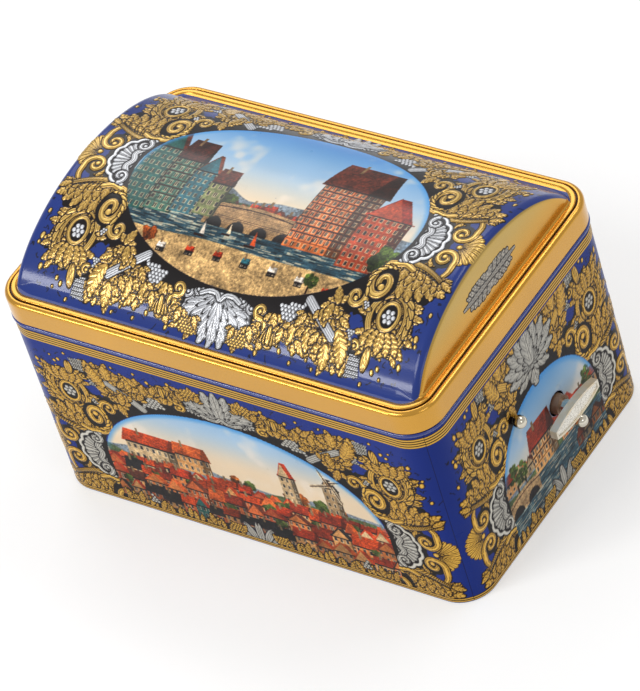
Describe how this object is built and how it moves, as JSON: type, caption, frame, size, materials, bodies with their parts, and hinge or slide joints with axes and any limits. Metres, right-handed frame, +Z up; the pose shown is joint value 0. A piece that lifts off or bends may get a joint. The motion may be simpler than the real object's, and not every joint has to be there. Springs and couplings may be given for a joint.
{
  "type": "musical cookie tin",
  "caption": "Rectangular tin chest with rounded corners and a hinged barrel-vaulted lid, printed with gold ornament, with a wind-up musical movement inside one end wall and a T-bar key outside.",
  "frame": {"origin": "middle of the base, on the surface the tin stands on", "axes": "+X towards the end with the winding key, -Y to the front, +Z up"},
  "size_m": [0.1893, 0.122, 0.1154],
  "materials": {
    "printed_tin": "gloss lacquer over printed blue and gold ornament",
    "printed_lid": "gloss lacquer, gold rim and printed blue vault",
    "plain_tinplate": "bright tinplate",
    "hinge_steel": "gold lacquered pressed steel",
    "wire_steel": "drawn wire",
    "nickel": "nickel plate",
    "dark_sleeve": "oiled steel tube",
    "rubber": "matte",
    "cast_zinc": "die-cast",
    "spring_case": "nickelled pressing",
    "spring_steel": "blued spring steel",
    "brass": "machined brass",
    "hard_steel": "machined steel",
    "screw_steel": "zinc plated",
    "white_nylon": "moulded nylon",
    "cover_plastic": "moulded white plastic"
  },
  "bodies": {
    "tin": {"body_wall": "printed_tin", "bottom_panel": "plain_tinplate", "body_hinge_leaves": "hinge_steel", "hinge_pins": "wire_steel", "ball_head_screws": "nickel", "mounting_grommets": "rubber", "bedplate": "cast_zinc", "spring_housing": "spring_case", "housing_screws": "screw_steel", "mainspring": "spring_steel", "comb": "spring_steel", "comb_screws": "screw_steel", "right_cylinder_bracket": "brass", "left_cylinder_bracket": "brass", "governor_frame": "brass", "movement_cover": "cover_plastic", "cover_pillars": "brass", "cover_screws": "screw_steel"},
    "lid": {"lid_shell": "printed_lid", "lid_hinge_leaves": "hinge_steel"},
    "key": {"winding_key_handle": "nickel", "winding_key_shank": "nickel", "key_sleeve": "dark_sleeve", "winding_arbor": "wire_steel", "arbor_clip": "wire_steel", "ratchet_wheel": "hard_steel", "ratchet_click": "hard_steel", "drive_wheel": "brass"},
    "cylinder": {"pinned_cylinder": "brass", "cylinder_shaft": "wire_steel", "cylinder_pinion": "brass", "cylinder_wheel": "brass"},
    "governor_wheel": {"governor_shaft": "wire_steel", "governor_pinion": "brass", "governor_worm_wheel": "white_nylon"},
    "fly": {"worm_shaft": "wire_steel", "air_brake_fan": "white_nylon"}
  },
  "joints": [
    {"name": "lid_hinge", "type": "hinge", "parent": "tin", "child": "lid", "pos_m": [0, 0.0611, 0.0834], "axis": [-1, 0, 0], "range_deg": [0, 100]},
    {"name": "key_turn", "type": "hinge", "parent": "tin", "child": "key", "pos_m": [0.088, 0.00925, 0.0356], "axis": [1, 0, 0], "continuous": true},
    {"name": "cylinder_turn", "type": "hinge", "parent": "tin", "child": "cylinder", "pos_m": [0.0685, -0.0156, 0.0356], "axis": [0, 1, 0], "continuous": true},
    {"name": "governor_turn", "type": "hinge", "parent": "tin", "child": "governor_wheel", "pos_m": [0.07247, -0.031, 0.0288], "axis": [0, 1, 0], "continuous": true},
    {"name": "fly_turn", "type": "hinge", "parent": "tin", "child": "fly", "pos_m": [0.075, -0.0343, 0.024], "axis": [1, 0, 0], "continuous": true}
  ],
  "couplings": [
    {"joint": "cylinder_turn", "follows": "key_turn", "ratio": 3.3333},
    {"joint": "governor_turn", "follows": "key_turn", "ratio": -13.333},
    {"joint": "fly_turn", "follows": "key_turn", "ratio": -160}
  ]
}
